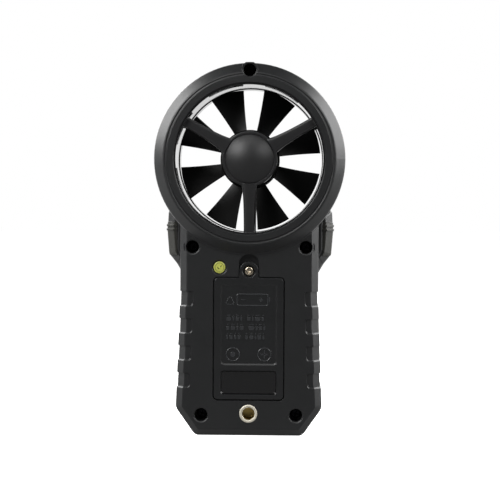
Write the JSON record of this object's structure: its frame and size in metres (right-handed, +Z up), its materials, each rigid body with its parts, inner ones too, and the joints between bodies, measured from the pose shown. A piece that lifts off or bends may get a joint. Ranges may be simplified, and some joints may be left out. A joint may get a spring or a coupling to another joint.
{
  "type": "handheld weather meter",
  "caption": "Handheld vane anemometer with a round ducted wind vane, side climate vents, keys, a display and a hinged battery cover.",
  "frame": {"origin": "middle of the bounding box at the flat base it can stand on", "axes": "+Z up the body to the wind vane; -Y is the back with the battery cover and tripod socket; +Y is the display face; +X is to the right seen from the back"},
  "size_m": [0.0844, 0.038, 0.165],
  "materials": {
    "housing_plastic": "fine-textured moulded black ABS",
    "cover_plastic": "moulded black ABS, satin",
    "duct_plastic": "polished black ABS",
    "cap_plastic": "polished black ABS",
    "impeller_plastic": "moulded black polyamide",
    "vent_plastic": "moulded dark olive-grey ABS",
    "key_rubber": "moulded grey silicone",
    "power_rubber": "moulded red silicone",
    "mat_rubber": "moulded silicone",
    "fascia_film": "printed satin polycarbonate",
    "window_clear": "clear polished acrylic",
    "lcd_glass": "polarised glass",
    "frame_plastic": "moulded white polycarbonate",
    "backlight_plastic": "clear acrylic light guide",
    "contact_rubber": "layered conductive silicone",
    "circuit_board": "green solder mask on glass epoxy",
    "component_black": "moulded epoxy",
    "sensor_white": "white ceramic and polymer",
    "cable_grey": "grey PVC",
    "lead_red": "red PVC",
    "lead_black": "black PVC",
    "spindle_steel": "ground steel",
    "bearing_steel": "polished bearing steel",
    "brass": "turned brass",
    "nickel_steel": "nickel-plated steel",
    "black_steel": "black zinc-plated steel",
    "magnet_metal": "nickel-plated magnet",
    "battery_metal": "printed film sleeve over a cell pack",
    "terminal_metal": "nickel-plated brass",
    "clip_vinyl": "moulded black vinyl",
    "seal_paper": "varnished yellow-green paper"
  },
  "bodies": {
    "housing": {"rear_shell": "housing_plastic", "front_shell": "housing_plastic", "case_screws": "black_steel", "wind_duct": "duct_plastic", "rear_spider": "duct_plastic", "front_spider": "duct_plastic", "rear_hub_cap": "cap_plastic", "front_hub_cap": "cap_plastic", "rear_bearing_outer_ring": "bearing_steel", "rear_bearing_balls": "bearing_steel", "front_bearing_outer_ring": "bearing_steel", "front_bearing_balls": "bearing_steel", "speed_pickup": "component_black", "pickup_cable": "cable_grey", "cover_nut": "brass", "tripod_nut": "brass", "inspection_seal": "seal_paper", "battery": "battery_metal", "battery_terminals": "terminal_metal", "battery_clip": "clip_vinyl", "battery_lead_positive": "lead_red", "battery_lead_negative": "lead_black", "main_board": "circuit_board", "board_screws": "nickel_steel", "board_components": "component_black", "display_panel": "lcd_glass", "display_backlight": "backlight_plastic", "display_contact_strips": "contact_rubber", "display_frame": "frame_plastic", "display_window": "window_clear", "front_fascia": "fascia_film", "keypad_mat": "mat_rubber", "left_vent": "vent_plastic", "right_vent": "vent_plastic", "climate_board": "circuit_board", "humidity_sensor": "sensor_white", "temperature_bead": "component_black"},
    "rotor": {"impeller": "impeller_plastic", "rotor_magnets": "magnet_metal", "spindle": "spindle_steel", "spindle_collars": "brass", "rear_bearing_inner_ring": "bearing_steel", "front_bearing_inner_ring": "bearing_steel"},
    "cover": {"battery_cover": "cover_plastic", "cover_screw": "nickel_steel"},
    "key_hold": {"key_hold": "key_rubber"},
    "key_light": {"key_light": "key_rubber"},
    "key_units": {"key_units": "key_rubber"},
    "key_range": {"key_range": "key_rubber"},
    "key_power": {"key_power": "power_rubber"}
  },
  "joints": [
    {"name": "vane_spin", "type": "hinge", "parent": "housing", "child": "rotor", "pos_m": [0, 0, 0.1228], "axis": [0, 1, 0], "continuous": true},
    {"name": "cover_swing", "type": "hinge", "parent": "housing", "child": "cover", "pos_m": [0, -0.0136, 0.01595], "axis": [1, 0, 0], "range_deg": [0, 75]},
    {"name": "key_hold_press", "type": "slide", "parent": "housing", "child": "key_hold", "axis": [0, -1, 0], "range_m": [0, 0.0008], "stiffness_N_per_m": 400},
    {"name": "key_light_press", "type": "slide", "parent": "housing", "child": "key_light", "axis": [0, -1, 0], "range_m": [0, 0.0008], "stiffness_N_per_m": 400},
    {"name": "key_units_press", "type": "slide", "parent": "housing", "child": "key_units", "axis": [0, -1, 0], "range_m": [0, 0.0008], "stiffness_N_per_m": 400},
    {"name": "key_range_press", "type": "slide", "parent": "housing", "child": "key_range", "axis": [0, -1, 0], "range_m": [0, 0.0008], "stiffness_N_per_m": 400},
    {"name": "key_power_press", "type": "slide", "parent": "housing", "child": "key_power", "axis": [0, -1, 0], "range_m": [0, 0.0008], "stiffness_N_per_m": 400}
  ]
}
